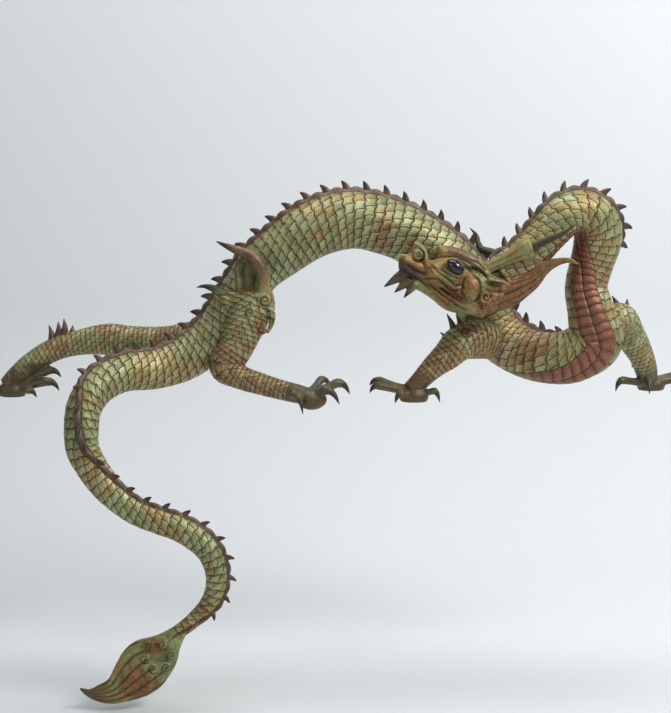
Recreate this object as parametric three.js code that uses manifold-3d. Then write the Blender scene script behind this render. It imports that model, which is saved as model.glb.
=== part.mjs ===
// A dragon cast in bronze that lies along a ledge, with its tail hanging over the front edge.
// Millimetres. +X runs along the ledge towards the raised neck, +Y away from its front edge, +Z up.
// The origin is the middle of the sole of the near hind foot, so z = 0 is the top of the ledge.
import * as THREE from "three";
import { mergeVertices } from "three/addons/utils/BufferGeometryUtils.js";
import Module from "manifold-3d";

const wasm = await Module();
wasm.setup();

// Driving dimensions
const ledge = { front: -20, back: 420, left: -900, right: 1000, depth: 40 };
const ridge = { height: 6, pitch: 38.5, start: 88 };
const spine = { height: 18, foot: 9.5, thick: 5, sunk: 2, bend: 0.12, lean: 0.55 };
const belly = { groove: -4, column: 2, reach: 20 };
const toe = { root: 1.15, neck: 0.9, claw: 0.72, clawRise: 0.2 };
const palm = { length: 29, width: 21, height: 20, middle: 10, toeRise: 6 };
const reliefWidth = 50;

// Facets: sides round each kind of piece, and rings along the longer ones
const facets = {
  body: { rings: 72 },
  limb: 8,
  toe: 5,
  flame: 8,
  beard: { sides: 10, rings: 10 },
  tuft: { sides: 12, rings: 10 },
  skull: { sides: 10, rings: 9 },
  jaw: { sides: 8, rings: 7 },
  palm: { sides: 8, rows: 5 },
};

// Angles round the body in degrees from the back: ridge foot, flank, belly edge, belly column, groove
const bodyAngles = [0, 15, 50, 95, 142, 164, 180, 196, 218, 265, 310, 345];

// The body from the tail tuft to the nape: centre, half width, and the way that the back faces
const bodyLine = [
  [-262, -75, -431, 13, [0, -1, 0]],
  [-224, -76, -401, 15, [0.35, -0.9, -0.3]],
  [-191, -78, -365, 19, [0.7, -0.6, -0.4]],
  [-179, -80, -328, 21, [0.95, -0.3, -0.1]],
  [-182, -82, -290, 23, [1, -0.2, 0.1]],
  [-196, -83, -260, 25, [0.8, -0.2, 0.5]],
  [-220, -84, -237, 26, [0.5, -0.2, 0.85]],
  [-249, -85, -219, 26, [0.4, -0.25, 0.88]],
  [-290, -85, -204, 26, [0.25, -0.3, 0.93]],
  [-332, -84, -186, 26, [0.35, -0.35, 0.87]],
  [-382, -81, -145, 28, [0.6, -0.5, 0.6]],
  [-411, -78, -106, 29.5, [0.58, -0.75, 0.35]],
  [-428, -78, -70, 31, [0.3, -0.9, 0.1]],
  [-430, -75, -35, 32, [0, -1, 0]],
  [-426, -61, 5, 33, [-0.25, -0.95, 0.1]],
  [-405, -38, 39, 34.5, [-0.75, -0.45, 0.5]],
  [-363, -5, 62, 37, [-0.3, -0.25, 0.92]],
  [-299, 35, 65, 39, [-0.25, -0.15, 0.95]],
  [-245, 58, 83, 43, [-0.35, -0.1, 0.93]],
  [-190, 73, 126, 44, [-0.6, 0, 0.8]],
  [-131, 82, 213, 45, [-0.85, 0, 0.5]],
  [-103, 85, 252, 47, [-0.8, 0, 0.6]],
  [-57, 90, 289, 51, [-0.7, 0, 0.7]],
  [0, 95, 327, 55, [-0.45, 0, 0.89]],
  [59, 100, 345, 56, [-0.1, 0, 1]],
  [98, 102, 345, 55, [0, 0, 1]],
  [141, 105, 334, 55, [0.37, 0, 0.93]],
  [178, 108, 320, 54, [0.47, 0, 0.88]],
  [239, 117, 283, 54, [0.6, 0, 0.8]],
  [291, 125, 237, 53, [0.65, 0, 0.76]],
  [330, 130, 181, 51, [0.8, 0, 0.6]],
  [363, 125, 122, 50, [0.6, 0, 0.8]],
  [407, 105, 91, 49, [0.4, 0.1, 0.9]],
  [458, 76, 81, 48, [0.2, 0.4, 0.9]],
  [510, 66, 88, 52, [0, 0.8, 0.6]],
  [547, 64, 116, 54, [0, 0.95, 0.2]],
  [539, 60, 166, 46, [0.15, 0.98, 0]],
  [529, 68, 218, 41, [0.3, 0.95, 0]],
  [540, 75, 266, 42, [0.7, 0.7, 0]],
  [550, 70, 304, 44, [0.95, 0.3, 0]],
  [550, 62, 332, 44, [1, 0.1, 0.1]],
  [536, 52, 356, 42, [0.7, 0, 0.7]],
  [509, 45, 367, 41, [0, 0, 1]],
  [478, 35, 358, 40, [-0.4, 0, 0.9]],
  [452, 28, 334, 38, [-0.65, 0, 0.75]],
  [406, 15, 284, 36, [-0.6, 0.1, 0.75]],
  [355, 10, 248, 37, [-0.4, 0, 0.9]],
];

// Each limb runs from inside the body to the ankle: centre and half width
const limbs = {
  nearHind: {
    line: [[-100, 72, 226, 22], [-112, 58, 196, 43], [-131, 47, 150, 41], [-148, 38, 104, 34],
      [-167, 32, 70, 32], [-140, 29, 50, 24], [-98, 24, 36, 21], [-54, 15, 25, 19], [-22, 5, 19, 18],
      [4, 2, 13, 14]],
    palm: [0, 0],
    turn: 10,
    toes: [
      { knuckle: [18, 31, 44], tip: [35, 40, 28], r: 8 },
      { knuckle: [50, 15, 40], tip: [72, 20, 17], r: 9 },
      { knuckle: [26, -14, 31], tip: [52, -20, 4], r: 9 },
      { root: [-38, -8, 22], knuckle: [-27, -20, 19], tip: [-17, -32, -13], r: 7 },
    ],
  },
  nearFront: {
    line: [[404, 122, 98, 26], [376, 114, 104, 34], [347, 100, 112, 38], [316, 81, 117, 40],
      [286, 64, 110, 35], [261, 54, 88, 29], [234, 48, 66, 23], [210, 44, 42, 19], [190, 40, 22, 17]],
    palm: [196, 40],
    turn: 175,
    toes: [
      { knuckle: [128, 57, 38], tip: [111, 60, 28], r: 8 },
      { knuckle: [125, 38, 31], tip: [111, 38, 17], r: 8 },
      { knuckle: [169, 20, 18], tip: [159, 14, 1], r: 8 },
      { knuckle: [236, 28, 22], tip: [245, 24, 1], r: 7 },
    ],
    spikes: [
      { base: [268, 60, 112], tip: [247, 60, 132], r: 6 },
      { base: [276, 64, 124], tip: [260, 66, 167], r: 8 },
      { base: [290, 68, 130], tip: [278, 70, 166], r: 8 },
      { base: [306, 74, 134], tip: [296, 74, 162], r: 7 },
    ],
  },
  farHind: {
    line: [[-184, 78, 118, 20], [-214, 95, 115, 35], [-290, 112, 108, 29], [-360, 120, 107, 30],
      [-404, 123, 110, 31], [-459, 122, 104, 25], [-508, 118, 91, 23], [-553, 112, 64, 22],
      [-586, 106, 34, 21], [-602, 104, 19, 18]],
    palm: [-592, 103],
    turn: -5,
    toes: [
      { knuckle: [-522, 106, 50], tip: [-495, 106, 37], r: 9 },
      { knuckle: [-520, 90, 31], tip: [-497, 90, 13], r: 9 },
      { knuckle: [-553, 82, 14], tip: [-540, 80, 1], r: 7 },
      { root: [-580, 118, 40], knuckle: [-556, 126, 46], tip: [-545, 129, 36], r: 5 },
    ],
    spikes: [
      { base: [-514, 118, 108], tip: [-519, 118, 139], r: 7 },
      { base: [-503, 120, 112], tip: [-501, 120, 145], r: 8 },
      { base: [-491, 122, 114], tip: [-490, 122, 151], r: 8 },
      { base: [-479, 123, 114], tip: [-473, 124, 138], r: 7 },
    ],
  },
  farFront: {
    line: [[544, 60, 122, 20], [564, 84, 138, 37], [602, 110, 150, 34], [622, 128, 124, 31],
      [640, 142, 97, 28], [657, 155, 68, 24], [668, 168, 39, 22], [674, 178, 20, 18]],
    palm: [680, 180],
    turn: 5,
    toes: [
      { knuckle: [615, 150, 24], tip: [603, 144, 3], r: 8 },
      { knuckle: [668, 146, 22], tip: [667, 124, 1], r: 8 },
      { knuckle: [750, 190, 24], tip: [772, 194, 2], r: 9 },
      { knuckle: [748, 215, 30], tip: [774, 222, 8], r: 8 },
    ],
    spikes: [
      { base: [598, 106, 172], tip: [585, 104, 198], r: 7 },
      { base: [612, 114, 164], tip: [617, 116, 191], r: 7 },
      { base: [624, 122, 150], tip: [634, 122, 167], r: 6 },
      { base: [636, 160, 80], tip: [640, 172, 46], r: 6 },
    ],
  },
};

// Horn-like flames that rise from the near hip
const hipFlames = [
  [[-104, 38, 200, 28, 20], [-106, 28, 229, 30, 22], [-110, 20, 258, 27, 20], [-118, 14, 280, 19, 15],
    [-139, 9, 294, 10, 9], [-160, 6, 302, 6, 6], [-181, 2, 312, 0]],
  [[-160, 40, 190, 13], [-172, 30, 210, 10], [-190, 25, 221, 7], [-206, 23, 225, 4], [-221, 22, 223, 0]],
];

// Bosses of the folds on the near hip: centre and size
const hipBosses = [[-90, 18, 199, 14], [-118, 12, 177, 10], [-96, 22, 141, 9]];

// The leaf-shaped tuft: centre, half width across the leaf, half thickness
const tuftLine = [
  [-251, -75, -423, 14, 13], [-268, -75, -442, 23, 17], [-288, -78, -464, 39, 22],
  [-314, -80, -486, 51, 25], [-341, -84, -512, 45, 22], [-375, -87, -536, 28, 15],
  [-407, -90, -541, 16, 9], [-424, -92, -539, 8, 5], [-441, -93, -530, 2, 0],
];
const tuftCurls = { middle: [-291, -465], ring: 25, start: 8, front: -99, count: 6, size: [11, 7, 11] };

// The head lies in a frame of its own: forward along the snout, up from the jaw to the crown
const head = { at: [286, 8, 240], lift: 25 };

// Skull and jaw: forward, up, half height, half width
const skullLine = [
  [-78, 2, 38, 38], [-45, 2, 40, 44], [-15, 0, 42, 46], [15, -3, 38, 44], [42, -9, 31, 36],
  [66, -16, 23, 29], [92, -16, 24, 32], [110, -21, 20, 27], [122, -27, 9, 13],
];
const jawLine = [
  [-62, -30, 22, 36], [-30, -36, 22, 39], [5, -43, 24, 35], [35, -43, 17, 27],
  [60, -43, 13, 22], [84, -43, 12, 20], [98, -46, 6, 12],
];

// The swept-back beard: centre, half width, half thickness
const beardLine = [
  [320, 10, 215, 36, 30], [348, 6, 226, 45, 30], [380, 4, 234, 40, 26], [409, 0, 245, 27, 18],
  [436, -4, 262, 14, 11], [463, -8, 274, 7, 6], [486, -12, 277, 4, 4], [500, -15, 270, 0],
];

function vec(p) {
  return new THREE.Vector3(p[0], p[1], p[2]);
}

// A smooth line through stations {at, wide, high, up}, read at a share u of its length
function smoothLine(stations) {
  const curve = new THREE.CatmullRomCurve3(stations.map((s) => s.at), false, "centripetal");
  curve.arcLengthDivisions = stations.length * 24;
  const last = stations.length - 1;
  const at = (u) => {
    const t = curve.getUtoTmapping(Math.min(1, Math.max(0, u)));
    const k = Math.min(last - 1, Math.floor(t * last));
    const f = t * last - k;
    const ease = f * f * (3 - 2 * f);
    const a = stations[k];
    const b = stations[k + 1];
    const tangent = curve.getTangent(t);
    const up = a.up.clone().lerp(b.up, f);
    up.addScaledVector(tangent, -up.dot(tangent)).normalize();
    return {
      point: curve.getPoint(t),
      tangent,
      up,
      side: tangent.clone().cross(up),
      wide: THREE.MathUtils.lerp(a.wide, b.wide, ease),
      high: THREE.MathUtils.lerp(a.high, b.high, ease),
    };
  };
  return { at };
}

// Shares of the length for the rings, closer together where the line bends
function ringShares(line, rings) {
  const steps = 480;
  const runs = [0];
  let last = line.at(0);
  for (let i = 1; i <= steps; i++) {
    const f = line.at(i / steps);
    const turned = f.tangent.angleTo(last.tangent);
    runs.push(runs[i - 1] + f.point.distanceTo(last.point) + 0.8 * f.wide * turned);
    last = f;
  }
  const shares = [];
  let i = 0;
  for (let k = 0; k <= rings; k++) {
    const run = (k / rings) * runs[steps];
    while (i < steps - 1 && runs[i + 1] < run) i++;
    const part = (run - runs[i]) / (runs[i + 1] - runs[i]);
    shares.push((i + Math.min(1, part)) / steps);
  }
  return shares;
}

function evenAngles(sides) {
  return Array.from({ length: sides }, (_, i) => (i * 360) / sides);
}

// A closed skin carried along a smooth line: an upright cylinder bent onto it, ring by ring
function sweep(stations, sides, rings, { angles = evenAngles(sides), relief = () => 0 } = {}) {
  const line = smoothLine(stations);
  const shares = ringShares(line, rings);
  const geometry = new THREE.CylinderGeometry(1, 1, 1, sides, rings);
  const place = geometry.attributes.position;
  for (let i = 0; i < place.count; i++) {
    const u = shares[Math.round((place.getY(i) + 0.5) * rings)];
    const across = Math.hypot(place.getX(i), place.getZ(i)) > 0.5 ? 1 : 0;
    const turn = Math.round((Math.atan2(place.getX(i), place.getZ(i)) / (2 * Math.PI)) * sides + sides) % sides;
    const angle = THREE.MathUtils.degToRad(angles[turn]);
    const f = line.at(u);
    const extra = relief(angles[turn], f);
    const p = f.point.clone();
    p.addScaledVector(f.side, across * (f.wide + extra) * Math.sin(angle));
    p.addScaledVector(f.up, across * (f.high + extra) * Math.cos(angle));
    place.setXYZ(i, p.x, p.y, p.z);
  }
  return geometry;
}

const towardsFront = new THREE.Vector3(0, -1, 0);

function round(p) {
  return { at: vec(p), wide: p[3], high: p[4] ?? p[3], up: towardsFront };
}

// A round lump, stretched along each axis and turned about the upright
function lump(at, size, turn = 0, sides = 6, rows = 4) {
  const geometry = new THREE.SphereGeometry(1, sides, rows);
  geometry.rotateX(Math.PI / 2);
  geometry.scale(size[0], size[1], size[2]);
  geometry.rotateZ(THREE.MathUtils.degToRad(turn));
  geometry.translate(at[0], at[1], at[2]);
  return geometry;
}

// A tapered spike with bulging sides
function spike(base, tip, r) {
  const from = vec(base);
  const to = vec(tip);
  const swell = from.clone().lerp(to, 0.5);
  const stations = [
    { at: from, wide: r, high: r, up: towardsFront },
    { at: swell, wide: r * 0.7, high: r * 0.7, up: towardsFront },
    { at: to, wide: 0, high: 0, up: towardsFront },
  ];
  return sweep(stations, 4, 2);
}

// The solid inside a geometry, without the triangles that close up to nothing at a point
function solid(geometry) {
  const bare = geometry.clone();
  bare.deleteAttribute("normal");
  bare.deleteAttribute("uv");
  const merged = mergeVertices(bare, 1e-4);
  const corners = merged.index.array;
  const kept = [];
  for (let i = 0; i < corners.length; i += 3) {
    const [a, b, c] = corners.slice(i, i + 3);
    if (a !== b && b !== c && c !== a) kept.push(a, b, c);
  }
  const mesh = new wasm.Mesh({
    numProp: 3,
    vertProperties: Float32Array.from(merged.attributes.position.array),
    triVerts: Uint32Array.from(kept),
  });
  return new wasm.Manifold(mesh);
}

const pieces = [];

// Shares of the line's length at which the ridge has run on by one pitch more
function ridgeSteps(line) {
  const steps = 600;
  const shares = [];
  let last = null;
  let run = 0;
  let next = ridge.start;
  for (let i = 0; i <= steps; i++) {
    const f = line.at(i / steps);
    const crest = f.point.clone().addScaledVector(f.up, f.high);
    if (last) run += crest.distanceTo(last);
    if (run >= next) {
      shares.push(i / steps);
      next += ridge.pitch;
    }
    last = crest;
  }
  return shares.slice(0, -1);
}

// A hooked blade that stands on the ridge and leans towards the tail
function makeSpine(f) {
  const tall = spine.height * Math.min(1, 0.45 + f.wide / 80);
  const length = tall + 2 * spine.sunk;
  const foot = f.point.clone().addScaledVector(f.up, f.high - spine.sunk);
  const middle = foot.clone().addScaledVector(f.up, 0.65 * length);
  const tip = foot.clone().addScaledVector(f.up, length);
  middle.addScaledVector(f.tangent, -spine.bend * tall);
  tip.addScaledVector(f.tangent, -spine.lean * tall);
  const blade = [
    { at: foot, wide: spine.thick, high: spine.foot, up: f.tangent },
    { at: middle, wide: spine.thick * 0.8, high: spine.foot * 0.7, up: f.tangent },
    { at: tip, wide: 0, high: 0, up: f.tangent },
  ];
  pieces.push(sweep(blade, 3, 2));
}

function makeBody() {
  const stations = bodyLine.map((p) => ({ at: vec(p), wide: p[3], high: p[3], up: vec(p[4]).normalize() }));
  const relief = (degrees, f) => {
    const size = f.wide / reliefWidth;
    if (degrees === 0) return size * ridge.height;
    if (degrees === 180) return size * belly.groove;
    return Math.abs(degrees - 180) < belly.reach ? size * belly.column : 0;
  };
  pieces.push(sweep(stations, bodyAngles.length, facets.body.rings, { angles: bodyAngles, relief }));
  const line = smoothLine(stations);
  ridgeSteps(line).forEach((u) => makeSpine(line.at(u)));
}

// A toe from its root in the palm over the knuckle to the point of the claw
function makeToe(foot, digit) {
  const middle = new THREE.Vector3(foot.palm[0], foot.palm[1], palm.middle + palm.toeRise);
  const knuckle = vec(digit.knuckle);
  const tip = vec(digit.tip);
  const root = digit.root ? vec(digit.root) : middle.clone().lerp(knuckle, 0.3);
  const clawBase = knuckle.clone().lerp(tip, 0.4);
  clawBase.z += toe.clawRise * knuckle.distanceTo(tip);
  const station = (at, share) => ({ at, wide: digit.r * share, high: digit.r * share, up: towardsFront });
  const stations = [
    station(root, toe.root),
    station(root.clone().lerp(knuckle, 0.6), toe.neck),
    station(knuckle, 1),
    station(clawBase, toe.claw),
    station(tip, 0),
  ];
  pieces.push(sweep(stations, facets.toe, stations.length - 1));
}

function makeLimb(limb) {
  const size = [palm.length, palm.width, palm.height];
  pieces.push(sweep(limb.line.map((p) => round(p)), facets.limb, limb.line.length + 1));
  pieces.push(lump([...limb.palm, palm.middle], size, limb.turn, facets.palm.sides, facets.palm.rows));
  limb.toes.forEach((digit) => makeToe(limb, digit));
  (limb.spikes ?? []).forEach((s) => pieces.push(spike(s.base, s.tip, s.r)));
}

function makeTuft() {
  pieces.push(sweep(tuftLine.map((p) => round(p)), facets.tuft.sides, facets.tuft.rings));
  for (let k = 0; k < tuftCurls.count; k++) {
    const turn = THREE.MathUtils.degToRad(tuftCurls.start + (k * 360) / tuftCurls.count);
    const x = tuftCurls.middle[0] + tuftCurls.ring * Math.cos(turn);
    const z = tuftCurls.middle[1] + tuftCurls.ring * Math.sin(turn);
    pieces.push(lump([x, tuftCurls.front, z], tuftCurls.size));
  }
}

// Directions of the head's frame
const lift = THREE.MathUtils.degToRad(head.lift);
const forward = new THREE.Vector3(-Math.cos(lift), 0, Math.sin(lift));
const crown = new THREE.Vector3(Math.sin(lift), 0, Math.cos(lift));
const near = new THREE.Vector3(0, -1, 0);

// A point of the head from its distance forward, up and towards the near side
function inHead(a, b, c) {
  return vec(head.at).addScaledVector(forward, a).addScaledVector(crown, b).addScaledVector(near, c);
}

function alongHead(line) {
  return line.map(([a, b, high, wide]) => ({ at: inHead(a, b, 0), wide, high, up: crown }));
}

function headTube(points, sides, rings, up = crown) {
  const station = ([a, b, c, wide, high = wide]) => ({ at: inHead(a, b, c), wide, high, up });
  const stations = points.map(station);
  pieces.push(sweep(stations, sides, rings));
}

function headLump(a, b, c, size) {
  pieces.push(lump(inHead(a, b, c).toArray(), size));
}

function headSpike(from, to, r) {
  pieces.push(spike(inHead(...from).toArray(), inHead(...to).toArray(), r));
}

function makeHead() {
  pieces.push(sweep(alongHead(skullLine), facets.skull.sides, facets.skull.rings));
  pieces.push(sweep(alongHead(jawLine), facets.jaw.sides, facets.jaw.rings));
  // Brow, eye, nostril, cheek, curls and leaf ear on each side
  for (const s of [1, -1]) {
    headTube([[66, 20, 24 * s, 4], [50, 34, 32 * s, 8], [22, 38, 38 * s, 9], [-8, 40, 37 * s, 8],
      [-38, 30, 34 * s, 4]], 5, 5);
    headLump(25, 14, 38 * s, [20, 12, 15]);
    headLump(102, 4, 19 * s, [14, 13, 12]);
    headLump(-20, -15, 38 * s, [18, 13, 27]);
    headLump(-54, -20, 36 * s, [13, 9, 13]);
    headLump(-55, -39, 32 * s, [9, 8, 9]);
    headTube([[-46, 14, 38 * s, 8, 4], [-64, 18, 46 * s, 9, 5], [-84, 20, 50 * s, 0]], 4, 3);
  }
  // Near horn in its flared sheath, far horn, small point, then the spikes of the snout and chin
  headTube([[-26, 28, 24, 12], [-54, 62, 30, 14], [-78, 92, 36, 22], [-84, 100, 38, 19]], 8, 4);
  headTube([[-70, 88, 36, 9], [-93, 120, 38, 7], [-122, 154, 40, 5], [-142, 184, 42, 0]], 5, 4);
  headTube([[-28, 30, -26, 11], [-54, 54, -36, 13], [-60, 68, -42, 12]], 6, 3);
  headTube([[-56, 62, -40, 9], [-36, 66, -54, 9], [-12, 62, -66, 7], [6, 72, -76, 5],
    [16, 92, -84, 0]], 5, 5, near);
  headSpike([-46, 42, 6], [-38, 84, 2], 8);
  headSpike([108, -12, 8], [129, -20, 12], 7);
  headSpike([104, -36, 6], [130, -74, 12], 12);
  headSpike([93, -44, 10], [108, -76, 18], 11);
  headSpike([80, -46, 14], [88, -78, 24], 10);
}

makeBody();
Object.values(limbs).forEach(makeLimb);
hipFlames.forEach((line) => pieces.push(sweep(line.map((p) => round(p)), facets.flame, line.length + 1)));
hipBosses.forEach(([x, y, z, r]) => pieces.push(lump([x, y, z], [r, 0.7 * r, r])));
makeTuft();
makeHead();
pieces.push(sweep(beardLine.map((p) => round(p)), facets.beard.sides, facets.beard.rings));

// One casting: the pieces join, and what would sink into the ledge is cut flat into soles
let casting = solid(pieces[0]);
for (const piece of pieces.slice(1)) {
  casting = casting.add(solid(piece));
}
const below = new THREE.BoxGeometry(ledge.right - ledge.left, ledge.back - ledge.front, ledge.depth);
below.translate((ledge.left + ledge.right) / 2, (ledge.front + ledge.back) / 2, -ledge.depth / 2);
casting = casting.subtract(solid(below));

const cast = casting.getMesh();
const skin = new THREE.BufferGeometry();
skin.setAttribute("position", new THREE.BufferAttribute(Float32Array.from(cast.vertProperties), 3));
skin.setIndex(new THREE.BufferAttribute(Uint32Array.from(cast.triVerts), 1));
skin.computeVertexNormals();

const bronze = new THREE.MeshStandardMaterial({ color: 0x7c8a58, roughness: 0.55, metalness: 0.6 });
const dragon = new THREE.Mesh(skin, bronze);
dragon.name = "dragon";

const group = new THREE.Group();
group.add(dragon);

export default group;
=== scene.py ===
import math
import bpy
import numpy as np
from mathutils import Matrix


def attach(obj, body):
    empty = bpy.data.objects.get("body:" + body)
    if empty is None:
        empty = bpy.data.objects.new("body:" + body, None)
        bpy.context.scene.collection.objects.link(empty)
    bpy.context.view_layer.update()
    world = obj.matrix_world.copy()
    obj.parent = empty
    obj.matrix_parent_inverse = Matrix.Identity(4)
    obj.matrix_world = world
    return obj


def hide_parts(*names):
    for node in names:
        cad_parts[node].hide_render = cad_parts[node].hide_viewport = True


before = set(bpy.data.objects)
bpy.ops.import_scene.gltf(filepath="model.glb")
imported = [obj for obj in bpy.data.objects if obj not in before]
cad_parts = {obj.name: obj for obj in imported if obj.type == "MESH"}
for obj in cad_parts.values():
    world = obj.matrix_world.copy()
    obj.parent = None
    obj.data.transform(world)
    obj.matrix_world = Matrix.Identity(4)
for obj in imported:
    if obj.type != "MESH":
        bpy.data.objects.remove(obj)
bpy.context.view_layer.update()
scene = bpy.context.scene
mm = 0.001  # every table below is in millimetres
print("frame loaded")

# camera, stage and light
shot = {"target": (0.0447, 0.0, 0.093), "distance": 3.2, "elevation": 8.0, "lens": 84.98}
stageSizes = {"floor": -0.575, "back": 1.5, "front": -4.5, "half": 4.0, "top": 3.2, "bend": 0.6}

cameraData = bpy.data.cameras.new("camera")
cameraData.lens = shot["lens"]
cameraData.clip_end = 50
camera = bpy.data.objects.new("camera", cameraData)
scene.collection.objects.link(camera)
tilt = math.radians(shot["elevation"])
camera.location = (shot["target"][0], shot["target"][1] - shot["distance"] * math.cos(tilt),
                   shot["target"][2] + shot["distance"] * math.sin(tilt))
camera.rotation_euler = (math.pi / 2 - tilt, 0, 0)
scene.camera = camera
scene.view_settings.view_transform = "Standard"


def makeMesh(name, verts, quads, tris=(), smooth=True):
    # a mesh from whole arrays of corners and faces
    quads = np.asarray(quads, np.int32).reshape(-1, 4)
    tris = np.asarray(tris, np.int32).reshape(-1, 3)
    mesh = bpy.data.meshes.new(name)
    mesh.vertices.add(len(verts))
    mesh.vertices.foreach_set("co", np.asarray(verts, np.float32).ravel())
    mesh.loops.add(quads.size + tris.size)
    mesh.loops.foreach_set("vertex_index", np.concatenate([quads.ravel(), tris.ravel()]))
    mesh.polygons.add(len(quads) + len(tris))
    starts = np.concatenate([np.arange(len(quads)) * 4, quads.size + np.arange(len(tris)) * 3])
    mesh.polygons.foreach_set("loop_start", starts.astype(np.int32))
    mesh.update(calc_edges=True)
    mesh.validate()
    mesh.shade_smooth() if smooth else mesh.shade_flat()
    return mesh


def makeObject(name, mesh, material):
    piece = bpy.data.objects.new(name, mesh)
    scene.collection.objects.link(piece)
    piece.data.materials.append(material)
    return piece


# shader maths
class Link:
    # wraps a socket or a number so that shader maths reads as plain expressions
    def __init__(self, paint, socket):
        self.paint = paint
        self.socket = socket

    def math(self, operation, *values):
        return self.paint.node("ShaderNodeMath", {"operation": operation}, dict(enumerate((self, *values))))

    def __add__(self, other): return self.math("ADD", other)
    __radd__ = __add__
    def __mul__(self, other): return self.math("MULTIPLY", other)
    __rmul__ = __mul__
    def __sub__(self, other): return self.math("SUBTRACT", other)
    def __rsub__(self, other): return self * -1 + other
    def __truediv__(self, other): return self.math("DIVIDE", other)
    def __pow__(self, other): return self.math("POWER", other)
    def floor(self): return self.math("FLOOR")
    def fract(self): return self.math("FRACT")
    def abs(self): return self.math("ABSOLUTE")
    def most(self, other): return self.math("MAXIMUM", other)
    def least(self, other): return self.math("MINIMUM", other)

    def ramp(self, low, high, start=0.0, end=1.0):
        # smooth step of this value between low and high
        return self.paint.node("ShaderNodeMapRange", {"interpolation_type": "SMOOTHSTEP"},
                               {0: self, 1: low, 2: high, 3: start, 4: end})


class Paint:
    # one material's node tree
    def __init__(self, name):
        self.material = bpy.data.materials.new(name)
        self.material.use_nodes = True
        self.tree = self.material.node_tree
        self.shader = self.tree.nodes["Principled BSDF"]
        self.place = self.node("ShaderNodeTexCoord", {}, {}, out="Object")

    def node(self, kind, settings, inputs, out=0):
        made = self.tree.nodes.new(kind)
        for key, setting in settings.items():
            if key == "stops":
                ramp = made.color_ramp
                while len(ramp.elements) < len(setting):
                    ramp.elements.new(0.5)
                for element, (at, colour) in zip(ramp.elements, setting):
                    element.position = at
                    element.color = (*colour, 1)
            else:
                setattr(made, key, setting)
        for key, value in inputs.items():
            if isinstance(value, Link):
                self.tree.links.new(value.socket, made.inputs[key])
            else:
                made.inputs[key].default_value = value
        return Link(self, made.outputs[out])

    def attribute(self, name, out="Vector"):
        return self.node("ShaderNodeAttribute", {"attribute_name": name}, {}, out=out)

    def split(self, vector):
        made = self.node("ShaderNodeSeparateXYZ", {}, {0: vector})
        return [Link(self, made.socket.node.outputs[k]) for k in range(3)]

    def join(self, x, y, z):
        return self.node("ShaderNodeCombineXYZ", {}, {0: x, 1: y, 2: z})

    def noise(self, scale, detail=4.0, rough=0.55, at=None):
        return self.node("ShaderNodeTexNoise", {}, {"Vector": at or self.place, "Scale": scale, "Detail": detail,
                                                    "Roughness": rough})

    def mix(self, factor, first, second, blend="MIX"):
        made = self.tree.nodes.new("ShaderNodeMix")
        made.data_type = "RGBA"
        made.blend_type = blend
        for key, value in ((0, factor), (6, first), (7, second)):
            if isinstance(value, Link):
                self.tree.links.new(value.socket, made.inputs[key])
            else:
                made.inputs[key].default_value = (*value, 1) if key else value
        return Link(self, made.outputs[2])

    def set(self, **inputs):
        for key, value in inputs.items():
            socket = self.shader.inputs[key.replace("_", " ")]
            if isinstance(value, Link):
                self.tree.links.new(value.socket, socket)
            else:
                socket.default_value = value
        return self.material

    def bump(self, height, distance, strength=1.0, under=None):
        inputs = {"Height": height, "Distance": distance, "Strength": strength}
        if under:
            inputs["Normal"] = under
        return self.node("ShaderNodeBump", {}, inputs)


def tone(red, green, blue):
    # a colour from the usual 0 to 255 screen values
    share = np.array([red, green, blue]) / 255
    return tuple(np.where(share <= 0.04045, share / 12.92, ((share + 0.055) / 1.055) ** 2.4))


def makeStageMaterial(name, colour, rough):
    paint = Paint(name)
    cloud = paint.noise(1.5, 2.0)
    shade = paint.mix(cloud * 0.25, colour, tuple(0.93 * c for c in colour))
    return paint.set(Base_Color=shade, Roughness=rough)


def makeStage():
    # floor and backdrop: one sheet, flat, then a quarter circle, then upright
    d = stageSizes
    flat = np.stack([np.linspace(d["front"], d["back"] - d["bend"], 12), np.full(12, d["floor"])], 1)
    turn = np.linspace(0, np.pi / 2, 17)[1:]
    bend = np.stack([d["back"] - d["bend"] + d["bend"] * np.sin(turn),
                     d["floor"] + d["bend"] * (1 - np.cos(turn))], 1)
    wall = np.stack([np.full(8, d["back"]), np.linspace(d["floor"] + d["bend"], d["top"], 9)[1:]], 1)
    profile = np.concatenate([flat, bend, wall])
    x = np.linspace(-d["half"], d["half"], 9)
    verts = np.stack([np.tile(x, (len(profile), 1)), np.repeat(profile[:, :1], 9, 1),
                      np.repeat(profile[:, 1:], 9, 1)], 2).reshape(-1, 3)
    k = (np.arange(len(profile) - 1)[:, None] * 9 + np.arange(8)).ravel()
    sheet = makeObject("backdrop", makeMesh("backdrop", verts, np.stack([k, k + 1, k + 10, k + 9], 1)),
                       makeStageMaterial("paleBackdrop", tone(214, 217, 219), 0.9))


def makeLight(name, at, aim, size, power, colour=(1, 1, 1)):
    data = bpy.data.lights.new(name, "AREA")
    data.shape = "RECTANGLE"
    data.size, data.size_y = size
    data.energy = power
    data.color = colour
    light = bpy.data.objects.new(name, data)
    scene.collection.objects.link(light)
    light.location = at
    back = np.array(at, float) - np.array(aim, float)
    flat = math.hypot(back[0], back[1])
    light.rotation_euler = (math.atan2(flat, back[2]), 0, math.atan2(back[0], -back[1]))


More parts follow.
